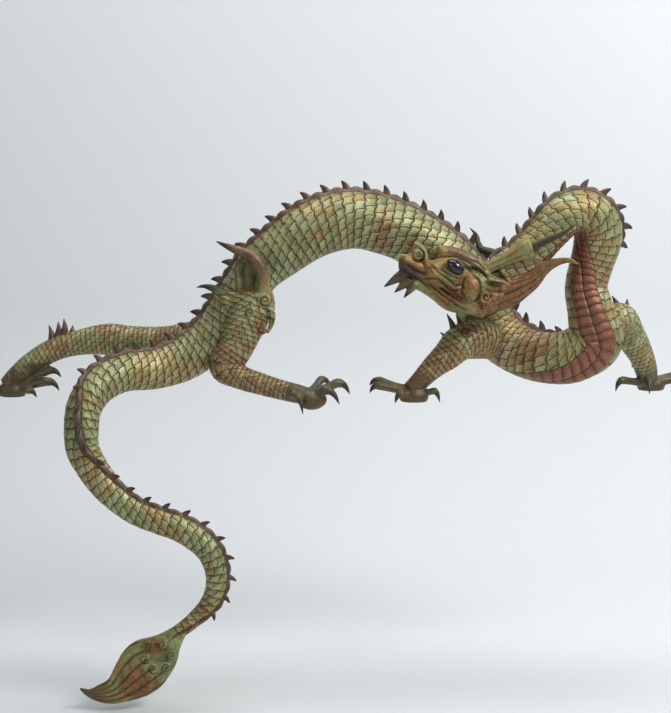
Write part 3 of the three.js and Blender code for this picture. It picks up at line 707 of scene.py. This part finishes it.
# limbs
limbs = {
    "nearHind": {
        "line": [(-100, 72, 226, 22), (-112, 58, 196, 43), (-131, 47, 150, 41), (-148, 38, 104, 34), (-167, 32, 70, 32),
                 (-140, 29, 50, 24), (-98, 24, 36, 21), (-54, 15, 25, 19), (-22, 5, 19, 18), (4, 2, 13, 14)],
        "palm": (0, 0), "turn": 10, "up": (0, -1, 0.3),
        "toes": [((-5, 0, 22), (18, 31, 44), (35, 40, 28), 8), ((5, 2, 22), (50, 15, 40), (72, 20, 17), 9),
                 ((3, -4, 16), (26, -14, 31), (52, -20, 4), 9), ((-38, -8, 22), (-27, -20, 19), (-17, -32, -13), 7)],
        "spikes": []},
    "nearFront": {
        "line": [(404, 122, 98, 26), (376, 114, 104, 34), (347, 100, 112, 38), (316, 81, 117, 40), (286, 64, 110, 35),
                 (261, 54, 88, 29), (234, 48, 66, 23), (210, 44, 42, 19), (190, 40, 22, 17)],
        "palm": (196, 40), "turn": 175, "up": (0, -1, 0.3),
        "toes": [((188, 45, 20), (128, 57, 38), (111, 60, 28), 8), ((188, 40, 18), (125, 38, 31), (111, 38, 17), 8),
                 ((190, 34, 14), (169, 20, 18), (159, 14, 1), 8), ((208, 36, 16), (236, 28, 22), (245, 24, 1), 7)],
        "spikes": [((268, 60, 112), (247, 60, 132), 6), ((276, 64, 124), (260, 66, 167), 8),
                   ((290, 68, 130), (278, 70, 166), 8), ((306, 74, 134), (296, 74, 162), 7)]},
    "farHind": {
        "line": [(-184, 78, 118, 20), (-214, 95, 115, 35), (-290, 112, 108, 29), (-360, 120, 107, 30),
                 (-404, 123, 110, 31), (-459, 122, 104, 25), (-508, 118, 91, 23), (-553, 112, 64, 22), (-586, 106, 34, 21),
                 (-602, 104, 19, 18)],
        "palm": (-592, 103), "turn": -5, "up": (0, -0.5, 1),
        "toes": [((-575, 104, 22), (-522, 106, 50), (-495, 106, 37), 9), ((-575, 100, 18), (-520, 90, 31), (-497, 90, 13), 9),
                 ((-582, 97, 14), (-553, 82, 14), (-540, 80, 1), 7), ((-580, 118, 40), (-556, 126, 46), (-545, 129, 36), 5)],
        "spikes": [((-514, 118, 108), (-519, 118, 139), 7), ((-503, 120, 112), (-501, 120, 145), 8),
                   ((-491, 122, 114), (-490, 122, 151), 8), ((-479, 123, 114), (-473, 124, 138), 7)]},
    "farFront": {
        "line": [(544, 60, 122, 20), (564, 84, 138, 37), (602, 110, 150, 34), (622, 128, 124, 31), (640, 142, 97, 28),
                 (657, 155, 68, 24), (668, 168, 39, 22), (674, 178, 20, 18)],
        "palm": (680, 180), "turn": 5, "up": (0.3, -1, 0.3),
        "toes": [((665, 170, 16), (615, 150, 24), (603, 144, 3), 8), ((675, 172, 14), (668, 146, 22), (667, 124, 1), 8),
                 ((692, 182, 16), (750, 190, 24), (772, 194, 2), 9), ((692, 188, 18), (748, 215, 30), (774, 222, 8), 8)],
        "spikes": [((598, 106, 172), (585, 104, 198), 7), ((612, 114, 164), (617, 116, 191), 7),
                   ((624, 122, 150), (634, 122, 167), 6), ((636, 160, 80), (640, 172, 46), 6)]},
}
palmSize = {"length": 29, "width": 21, "height": 20, "middle": 10}
limbScales = {"row": 9.5, "count": 7, "lift": 0.8}
hipFlames = [
    [(-100, 36, 196, 20, 16), (-94, 26, 216, 13, 14), (-92, 16, 238, 12, 14), (-97, 9, 260, 12, 13), (-110, 6, 279, 12, 12),
     (-130, 6, 290, 10, 9), (-152, 5, 299, 7, 7), (-181, 2, 312, 1.5)],
    [(-150, 46, 196, 10), (-140, 32, 214, 8), (-139, 22, 232, 7), (-142, 16, 250, 6), (-140, 12, 268, 5), (-130, 10, 280, 3)],
    [(-118, 44, 215, 22, 20), (-120, 40, 240, 20, 20), (-122, 36, 262, 14, 16), (-124, 30, 276, 7, 8)],
    [(-160, 40, 190, 13), (-172, 30, 210, 10), (-190, 25, 221, 7), (-206, 23, 225, 4), (-221, 22, 223, 1)],
    [(-84, 26, 214, 8), (-100, 16, 208, 7), (-122, 18, 204, 6), (-146, 26, 206, 6), (-168, 30, 212, 4)],
    [(-108, 18, 178, 7), (-116, 12, 168, 8), (-114, 12, 152, 7), (-106, 16, 138, 3)],
    [(-84, 24, 190, 6), (-76, 26, 172, 6), (-78, 28, 152, 5), (-86, 28, 134, 3)],
]
hipBosses = [(-90, 18, 199, 14), (-118, 12, 177, 10), (-96, 22, 141, 9)]
coils = {"nearHind": [(-89.5, 199, 14, 1.6, 1), (-118, 176.5, 9.5, 1.2, 1), (-95.7, 141, 8.6, 1.2, -1)],
         "nearFront": [(295, 135, 10, 1.3, 1)], "farHind": [], "farFront": [(607, 140, 9, 1.2, 1), (589, 169, 11, 1.2, -1)]}
clawParts, thornParts = [], []


def mixPoint(a, b, share):
    return np.array(a, float) * (1 - share) + np.array(b, float) * share


def toeParts(root, knuckle, tip, r):
    # a toe from the palm over its knuckle, ending in a cuff; the claw starts inside the cuff and hooks down
    reach = np.linalg.norm(np.subtract(tip, knuckle))
    cuff = mixPoint(knuckle, tip, 0.36) + (0, 0, 0.18 * reach)
    neck = mixPoint(root, knuckle, 0.6)
    clawParts.append(tube([(*mixPoint(knuckle, cuff, 0.55), r * 0.74), (*cuff, r * 0.76),
                           (*(mixPoint(knuckle, tip, 0.7) + (0, 0, 0.2 * reach)), r * 0.5), (*tip, 0.6)], 14, 2.2))
    return [tube([(*root, r * 1.15), (*neck, r * 0.92), (*knuckle, r * 1.02), (*mixPoint(knuckle, cuff, 0.6), r * 0.9),
                  (*cuff, r * 0.95), (*mixPoint(cuff, tip, 0.08), r * 0.5)], 16, 3.0)]


def thorn(base, tip, r, bend=0.12):
    # a pointed cone with full sides that leans back a little half way up
    base, tip = np.array(base, float), np.array(tip, float)
    reach = np.linalg.norm(tip - base)
    middle = mixPoint(base, tip, 0.5) + (bend * reach * 0.5, 0, 0)
    inner = base - 0.15 * (tip - base)
    thornParts.append(tube([(*inner, r * 1.1), (*base, r * 1.05), (*middle, r * 0.74), (*tip, 0.8)], 12, 2.5))


def makeLimb(name, plan):
    palmAt = (*plan["palm"], palmSize["middle"])
    parts = [tube(plan["line"], 28, 4.0),
             lump(palmAt, (palmSize["length"], palmSize["width"], palmSize["height"]), plan["turn"])]
    for digit in plan["toes"]:
        parts += toeParts(*digit)
    for base, tip, r in plan["spikes"]:
        thorn(base, tip, r)
    if name == "nearHind":
        parts += [tube(line, 24, 3.0) for line in hipFlames]
        parts += [lump((x, y, z), (r, 0.7 * r, r)) for x, y, z, r in hipBosses]
    skin = welded(parts, 2.0, 3)
    points, normals, quads, tris = skin
    onLedge = points[:, 1] > -3
    points[:, 2] = np.where(onLedge, np.maximum(points[:, 2], 0.0), points[:, 2])
    line = flowLine([s[:4] for s in plan["line"]])
    run, away, along = nearLine(points, line)
    turn = aroundLine(away, along, plan["up"])
    row, across = -run / limbScales["row"] + 400, turn / 180 * limbScales["count"]
    fromPalm = np.linalg.norm(points - np.array(palmAt), axis=1)
    foot = 1 - smoothStep(fromPalm + 14 * (points[:, 0] < plan["palm"][0]) * (name == "farHind"), 30, 66)
    if name == "nearFront":
        foot = np.maximum(foot, 1 - smoothStep(points[:, 0], 150, 176))
    if name == "farHind":
        foot = np.maximum(foot, smoothStep(points[:, 0], -572, -548) * (1 - smoothStep(points[:, 2], 62, 72)))
    if name == "nearHind":
        foot = np.maximum(foot, smoothStep(points[:, 0], -8, 10))
    if name == "farFront":
        foot = np.maximum(foot, 1 - smoothStep(points[:, 2], 30, 44))
    toes = np.maximum(foot, 0)
    flame = smoothStep(points[:, 2], 200, 225) * (name == "nearHind")
    scaled = (1 - foot) * (1 - flame)
    lift = limbScales["lift"] * (scaleHeight(row, across) - 0.4) * scaled * 1.3
    carve = np.zeros(len(points))
    for x, z, r, turns, hand in coils[name]:
        wave, groove = spiral(points, (x, z), r, turns, hand)
        near = smoothStep(-points[:, 1], -60 if name.startswith("near") else -125, -40 if name.startswith("near") else -105)
        lift += wave * near
        carve = np.maximum(carve, groove * near)
        scaled = scaled * (1 - (np.hypot(points[:, 0] - x, points[:, 2] - z) < r * 1.1) * near)
    hollow = flame * smoothStep(points[:, 1], 14, 24) * smoothStep(-points[:, 0], 104, 112)
    carve = np.maximum(carve, hollow * 0.55)
    plan3 = np.stack([row, across, np.where(scaled > 0.5, 0.42, 0.0)], 1)
    horny = flame * (1 - hollow) * smoothStep(points[:, 2], 215, 262)
    darkTip = flame * smoothStep(-points[:, 0], 138, 172)
    tint = np.stack([np.maximum(toes * 0.5, horny * 0.8), 0.45 * np.ones(len(points)), np.maximum(toes * 0.55, darkTip * 0.9)], 1)
    return finishSkin(name + "Leg", skin, lift, plan3, tint, carve)


for limbName, limbPlan in limbs.items():
    makeLimb(limbName, limbPlan)


def makeTips(name, parts, rust, black):
    verts, quads, tris = joined(parts)
    piece = makeObject(name, makeMesh(name, verts * mm, quads, tris), plain)
    full = np.ones(len(verts))
    dress(piece, np.stack([full * 0, full * 0, -full], 1), np.stack([full * rust, full * 0, full * black], 1), full * 0)


makeTips("claws", clawParts, 0.6, 0.78)
makeTips("elbowSpikes", thornParts, 0.9, 0.3)
print("limbs done")

# tail tuft
tuftLine = [
    (-251, -75, -423, 14, 13), (-268, -75, -442, 23, 17), (-288, -78, -464, 39, 22), (-314, -80, -486, 51, 25),
    (-341, -84, -512, 45, 22), (-375, -87, -536, 28, 15), (-407, -90, -541, 16, 9), (-424, -92, -539, 8, 5),
    (-441, -93, -530, 2, 1),
]
tuftCurls = {"middle": (-291, -465), "ring": 25, "start": 8, "front": -99, "count": 6, "size": (11, 7, 11)}


def makeTuft():
    parts = [tube(tuftLine, 48, 3.0)]
    spots = []
    for k in range(tuftCurls["count"]):
        turn = math.radians(tuftCurls["start"] + 360 * k / tuftCurls["count"])
        spot = (tuftCurls["middle"][0] + tuftCurls["ring"] * math.cos(turn),
                tuftCurls["middle"][1] + tuftCurls["ring"] * math.sin(turn))
        spots.append(spot)
        parts.append(lump((spot[0], tuftCurls["front"], spot[1]), tuftCurls["size"]))
    skin = welded(parts, 1.8, 2)
    points = skin[0]
    line = flowLine(tuftLine)
    run, away, along = nearLine(points, line)
    rows, _ = readLine(line, run)
    ups = square(np.array([[0, -1.0, 0]]), along)
    sideways = np.cross(along, ups)
    share = np.sum(away * sideways, 1) / np.maximum(rows[:, 3], 6)
    behind = smoothStep(run, 62, 85)
    wave = np.cos(2 * np.pi * (share * 2.6 + 0.18 * np.sin(run / 26)))
    lift = 1.8 * wave * behind * np.clip(rows[:, 3] / 30, 0.2, 1)
    carve = smoothStep(-wave, 0.55, 1.0) * behind * 0.8
    front = smoothStep(-points[:, 1], 84, 92)
    for spot in spots:
        coil, groove = spiral(points, spot, 11, 1.5, 1, 1.4)
        lift += coil * front
        carve = np.maximum(carve, groove * front)
    plain0 = np.zeros(len(points))
    tip = smoothStep(run, 150, 215)
    tint = np.stack([plain0, 0.35 + 0.3 * behind, tip * 0.6], 1)
    return finishSkin("tailTuft", skin, lift, np.stack([plain0, plain0, plain0], 1), tint, carve)


makeTuft()
print("tuft done")

# head
head = {"at": (286, 8, 240), "lift": 25}
headLift = math.radians(head["lift"])
headForward = np.array([-math.cos(headLift), 0, math.sin(headLift)])
headCrown = np.array([math.sin(headLift), 0, math.cos(headLift)])
headNear = np.array([0, -1.0, 0])
skullLine = [(-78, 2, 38, 38), (-45, 2, 40, 44), (-15, 0, 42, 46), (15, -3, 38, 44), (42, -9, 31, 36), (66, -16, 23, 29),
             (92, -16, 24, 32), (110, -21, 20, 27), (122, -27, 9, 13)]
jawLine = [(-62, -30, 22, 36), (-30, -36, 22, 39), (5, -43, 24, 35), (35, -43, 17, 27), (60, -43, 13, 22),
           (84, -43, 12, 20), (98, -46, 6, 12)]


def inHead(a, b, c=0.0):
    return np.array(head["at"], float) + a * headForward + b * headCrown + c * headNear


def headTube(stations, sides=18, step=2.5, up=None):
    # stations are forward, up, to the near side, half width and, if given, half thickness
    rows = [(*inHead(*s[:3]), *s[3:]) for s in stations]
    return tube(rows, sides, step, headCrown if up is None else up)


def headLump(a, b, c, size):
    return lump(inHead(a, b, c), size)


# Tool lines of the face, each a line of forward and up, then half width, lift and share of dark
strokes = [
    ([(74, -30), (63, -18), (45, -12), (26, -16), (12, -20), (4, -15), (-6, -17), (-8, -27)], 2.6, 3.2, 0.0),
    ([(70, -34), (57, -23), (44, -19), (29, -24), (13, -27), (5, -21), (-3, -25)], 2.0, -3.4, 1.0),
    ([(48, -8), (28, -11), (14, -15), (4, -10), (-11, -14)], 1.5, -1.4, 0.8),
    ([(112, -18), (94, -22), (79, -22), (68, -18)], 3.4, -3.6, 0.9), ([(109, 24), (94, 19), (82, 6), (70, -9)], 4.2, 3.2, 0.0),
    ([(99, 17), (89, 13), (87, 4), (94, -4), (104, -4)], 1.8, -2.6, 1.0), ([(100, 12), (95, 8), (98, 4)], 1.5, -1.6, 0.8),
    ([(54, 19), (42, 27), (26, 31), (8, 28), (-4, 19)], 1.6, -2.6, 1.0),
    ([(49, 6), (38, 5), (24, 3), (10, 5), (0, 14)], 2.0, 2.0, 0.0), ([(52, 2), (38, 0), (22, -2), (8, 0)], 1.4, -1.6, 0.8),
    ([(64, 3), (44, -5), (26, -6), (14, -3)], 2.4, 1.6, 0.0), ([(6, 40), (-5, 42), (-17, 39), (-30, 34)], 1.5, -2.4, 0.9),
    ([(4, 34), (-9, 37), (-22, 34), (-36, 28)], 2.0, 2.0, 0.0), ([(0, 28), (-12, 31), (-26, 28), (-38, 22)], 1.5, -2.4, 0.9),
    ([(-2, 22), (-14, 25), (-27, 22)], 1.8, 1.8, 0.0), ([(2, 12), (2, -6), (-7, -22), (-20, -33)], 1.8, -2.8, 0.9),
    ([(-8, 17), (-24, 12), (-34, -3), (-36, -22), (-29, -33)], 1.8, -2.8, 0.9),
    ([(55, -34), (31, -40), (8, -45), (-19, -49), (-35, -47)], 1.6, -2.2, 0.8), ([(36, -31), (18, -34), (1, -36), (-15, -39)], 1.5, -2.2, 0.8),
    ([(45, -31), (25, -36), (3, -40), (-19, -44)], 1.8, 1.8, 0.0), ([(31, -26), (16, -31), (2, -33), (-11, -36)], 1.6, 1.8, 0.0),
    ([(50, -40), (28, -47), (3, -52), (-22, -53)], 1.8, 1.6, 0.0), ([(45, -44), (23, -51), (1, -56)], 1.3, -1.8, 0.7),
    ([(114, -30), (95, -35), (78, -35)], 1.6, -2.4, 0.9), ([(80, -30), (66, -38), (48, -42)], 1.6, -1.8, 0.7),
    ([(74, -2), (62, -8), (52, -14)], 2.0, 1.8, 0.0), ([(78, 10), (68, 0), (58, -4)], 1.5, -1.6, 0.7),
    ([(-38, 18), (-44, 27), (-57, 31), (-74, 30)], 1.8, 2.4, 0.0), ([(-43, 17), (-52, 21), (-66, 25)], 3.0, -3.2, 1.0),
    ([(-40, 12), (-52, 12), (-66, 18), (-78, 26)], 1.8, 2.2, 0.0), ([(-36, 4), (-50, 4), (-66, 8), (-82, 18)], 1.4, -2.0, 0.9),
    ([(-38, -3), (-54, -2), (-70, 2), (-84, 10)], 1.5, 1.6, 0.0), ([(-44, 38), (-62, 52), (-78, 72)], 1.4, -2.0, 0.8),
    ([(-28, 44), (-42, 62), (-56, 80), (-66, 96)], 1.2, -1.4, 0.6), ([(-36, 38), (-54, 62), (-72, 84), (-84, 96)], 1.2, -1.4, 0.6),
]


def strokeLines(points):
    # lift and dark share of every tool line at each point: a rounded bead or groove across the nearest part of it
    rel = points - np.array(head["at"], float)
    a, b = rel @ headForward, rel @ headCrown
    flat = np.stack([a, b], 1)
    lift, carve = np.zeros(len(points)), np.zeros(len(points))
    side = smoothStep(np.abs(rel[:, 1]), 6, 14)
    for line, half, height, dark in strokes:
        run, rows = flowLine([(x, y, 0) for x, y in line], 8)
        near = np.full(len(points), 1e9)
        taper = np.zeros(len(points))
        for k in range(len(rows) - 1):
            start, span = rows[k, :2], rows[k + 1, :2] - rows[k, :2]
            t = np.clip(((flat - start) @ span) / max(span @ span, 1e-9), 0, 1)
            away = np.hypot(*(flat - start - t[:, None] * span).T)
            closer = away < near
            near = np.where(closer, away, near)
            place = (run[k] + t * (run[k + 1] - run[k])) / run[-1]
            taper = np.where(closer, np.minimum(1, np.minimum(place, 1 - place) * 6 + 0.25), taper)
        shape = np.exp(-(near / half) ** 2) * taper * side
        lift += height * shape
        carve = np.maximum(carve, dark * shape)
    return a, b, lift, carve


def headCoil(a, b, middle, radius, turns):
    # the same coil as on the hips, laid on the side of the head
    far = np.hypot(a - middle[0], b - middle[1]) / radius
    wave = np.cos(2 * np.pi * (far * turns + np.arctan2(b - middle[1], a - middle[0]) / (2 * np.pi)))
    inside = 1 - smoothStep(far, 0.9, 1.1)
    return 1.8 * wave * inside, smoothStep(-wave, 0.3, 1.0) * inside


def makeHead():
    parts = [headTube([(a, b, 0, wide, high) for a, b, high, wide in skullLine], 40, 3.0),
             headTube([(a, b, 0, wide, high) for a, b, high, wide in jawLine], 36, 3.0)]
    for s in (1, -1):
        parts += [headTube([(60, 26, 28 * s, 7), (50, 34, 31 * s, 8.5), (28, 40, 36 * s, 8), (6, 41, 37 * s, 8),
                            (-12, 38, 36 * s, 7), (-38, 30, 34 * s, 4)]),
                  headLump(59, 32, 33 * s, (9, 9, 9)),
                  headLump(98, 8, 21 * s, (12, 10, 11)), headLump(-17, -10, 38 * s, (17, 14, 26)),
                  headLump(-50, -13, 36 * s, (12, 9, 12)), headLump(-52, -31, 32 * s, (8.5, 8, 8.5)),
                  headTube([(-40, 20, 38 * s, 8, 4), (-58, 25, 46 * s, 9, 5), (-82, 30, 50 * s, 1, 1)]),
                  headTube([(68, -24, 22 * s, 4), (45, -15, 34 * s, 5), (24, -18, 38 * s, 5), (4, -20, 40 * s, 5),
                            (-6, -26, 38 * s, 4)]),
                  headTube([(112, 22, 12 * s, 3), (98, 20, 20 * s, 5), (84, 8, 25 * s, 6), (70, -6, 27 * s, 3)])]
    parts += [headTube([(-26, 36, 24, 13), (-46, 60, 29, 12), (-66, 86, 34, 15), (-80, 102, 37, 20), (-88, 110, 38, 20)], 24),
              headTube([(-70, 96, 40, 7), (-66, 106, 42, 5), (-64, 118, 42, 1)], 10),
              headTube([(-92, 92, 36, 8), (-104, 96, 38, 5), (-114, 96, 38, 1)], 10),
              headTube([(-28, 34, -26, 11), (-54, 58, -36, 13), (-60, 70, -42, 12)], 20),
              headTube([(104, -36, 6, 12), (117, -55, 9, 8), (130, -76, 12, 1)]),
              headTube([(93, -44, 10, 11), (100, -60, 14, 7), (108, -77, 18, 1)]),
              headTube([(80, -46, 14, 10), (84, -62, 19, 6), (88, -78, 24, 1)]),
              headTube([(104, -8, 10, 8), (116, -8, 12, 6), (130, -8, 13, 1)])]
    skin = welded(parts, 1.3, 1)
    points = skin[0]
    none = np.zeros(len(points))
    a, b, lift, carve = strokeLines(points)
    for middle, radius, turns in (((-49, -10), 12, 1.4), ((-51, -29), 8.5, 1.3), ((98, 9), 9, 1.2)):
        coil, groove = headCoil(a, b, middle, radius, turns)
        lift, carve = lift + coil, np.maximum(carve, groove * 0.8)
    brow = np.exp(-((np.hypot((a - 26) / 38, (b - 43) / 13)) ** 4)) * (b > 30 - 0.1 * a)
    # painted shadow: the rust and black shares darken the front of the snout below the upper lip, along the mouth
    mouthShadow = smoothStep(a, 66, 92) * smoothStep(-b, 8, 20)
    sheath = smoothStep(b, 60, 80) * (a < -20)
    tint = np.stack([np.maximum(brow * 0.9, mouthShadow * 0.8), 0.85 * (1 - 0.2 * sheath) + none, mouthShadow * 0.35], 1)
    tips = smoothStep(-b, 58, 72) * (a > 70)
    tint[:, 2] = np.maximum(tint[:, 2], tips * 0.85)
    return finishSkin("head", skin, lift, np.stack([none, none, none - 1], 1), tint, carve, plain)


def makeHorns():
    parts = [headTube([(-76, 94, 36, 11), (-86, 106, 37, 9), (-97, 122, 38, 7), (-124, 154, 40, 5), (-144, 186, 42, 0.5)]),
             headTube([(-56, 62, -40, 10), (-36, 66, -54, 9), (-14, 64, -66, 7), (-4, 72, -74, 5.5), (4, 83, -80, 4.2), (22, 91, -84, 0.6)],
                      up=headNear),
             headTube([(-44, 36, 6, 8), (-42, 60, 4, 6), (-38, 84, 2, 0.5)])]
    verts, quads, tris = joined(parts)
    horns = makeObject("horns", makeMesh("horns", verts * mm, quads, tris), plain)
    full = np.ones(len(verts))
    dress(horns, np.stack([full * 0, full * 0, -full], 1), np.stack([full * 0.3, full * 0, full * 0.85], 1), full * 0)


def makeEyes():
    paint = Paint("eyeBlack")
    speck = paint.noise(60.0, 3.0)
    shade = paint.mix(speck.ramp(0.4, 0.7) * 0.3, tone(16, 15, 16), tone(44, 38, 34))
    gloss = paint.set(Base_Color=shade, Roughness=0.16, Coat_Weight=0.6)
    parts = [headTube([(9, 12, 36 * s, 3, 3), (13, 13, 37 * s, 9, 8), (21, 15, 38 * s, 12, 11), (27, 17, 38 * s, 12.5, 12),
                       (35, 19, 37 * s, 11, 10), (42, 21, 35 * s, 7, 6), (45, 22, 34 * s, 2, 2)], 28, 1.2) for s in (1, -1)]
    verts, quads, tris = joined(parts)
    eyes = makeObject("eyes", makeMesh("eyes", verts * mm, quads, tris), gloss)
    full = np.zeros(len(verts))
    dress(eyes, np.stack([full, full, full], 1), np.stack([full, full, full], 1), full)


beardLine = [(320, 10, 215, 36, 30), (348, 6, 226, 45, 30), (380, 4, 234, 40, 26), (409, 0, 245, 27, 18),
             (436, -4, 262, 14, 11), (463, -8, 274, 7, 6), (486, -12, 277, 4, 4), (500, -15, 270, 1, 1)]


def makeBeard():
    # strands: flutes round the tube that wind slowly about it
    verts, quads, tris = tube(beardLine, 120, 1.5)
    line = flowLine(beardLine)
    points = verts
    run, away, along = nearLine(points, line)
    ups = square(np.array([[0, -1.0, 0]]), along)
    sideways = np.cross(along, ups)
    angle = np.arctan2(np.sum(away * sideways, 1), np.sum(away * ups, 1))
    wave = np.cos(angle * 16 + 1.4 * np.sin(run / 40) + np.cos(angle * 3) * 1.2)
    rows, _ = readLine(line, run)
    thick = np.clip(rows[:, 4] / 26, 0.1, 1)
    lift = (1.6 * wave + 0.9 * np.cos(angle * 37 + run / 20)) * thick
    carve = smoothStep(-wave, 0.5, 1.0) * 0.8
    verts = points + unit(away) * lift[:, None]
    piece = makeObject("beard", makeMesh("beard", verts * mm, quads, tris), plain)
    none = np.zeros(len(verts))
    dress(piece, np.stack([none, none, none - 1], 1), np.stack([none + 0.15, none + 0.8, none], 1), carve)


makeHead()
makeHorns()
makeEyes()
makeBeard()
print("head done")

# finish
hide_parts("dragon")
